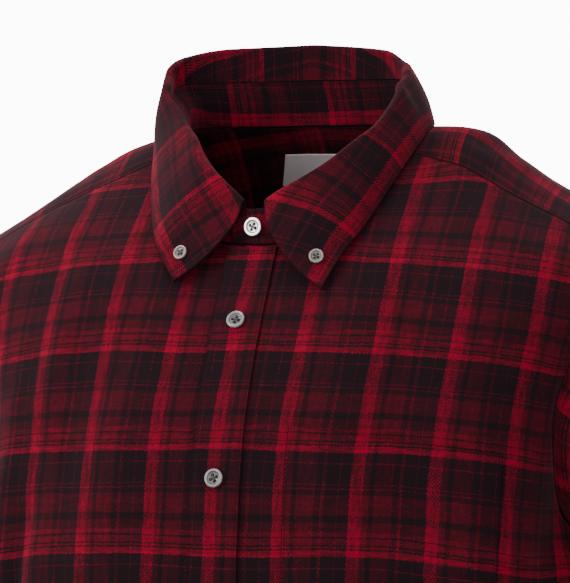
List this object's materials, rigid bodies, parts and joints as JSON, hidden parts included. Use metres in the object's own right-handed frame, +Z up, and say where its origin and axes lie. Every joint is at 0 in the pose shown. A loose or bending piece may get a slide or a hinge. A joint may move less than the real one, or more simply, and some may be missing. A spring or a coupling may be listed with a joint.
{
  "type": "flannel shirt",
  "caption": "Long-sleeved plaid flannel shirt with a button-down collar, a chest pocket, a back yoke and curved hems, filled out as worn and hollow.",
  "frame": {"origin": "midway between the side neck points, where the wearer's shoulders hold the shirt", "axes": "+X to the wearer's left, -Y to the front, +Z up"},
  "size_m": [0.6404, 0.2599, 0.7539],
  "materials": {
    "flannel": "matte, brushed",
    "label": "satin",
    "button": "glossy",
    "stand_button": "glossy"
  },
  "bodies": {
    "root": {"front_left": "flannel", "front_right": "flannel", "placket": "flannel", "yoke": "flannel", "back": "flannel", "sleeve_left": "flannel", "sleeve_right": "flannel", "cuff_left": "flannel", "cuff_right": "flannel", "collar_stand": "flannel", "collar_leaf": "flannel", "pocket": "flannel", "label": "label", "button_stand": "stand_button", "button_1": "button", "button_2": "button", "button_3": "button", "button_4": "button", "button_5": "button", "button_6": "button", "button_collar_left": "button", "button_collar_right": "button", "button_cuff_left": "button", "button_cuff_right": "button"}
  },
  "joints": []
}
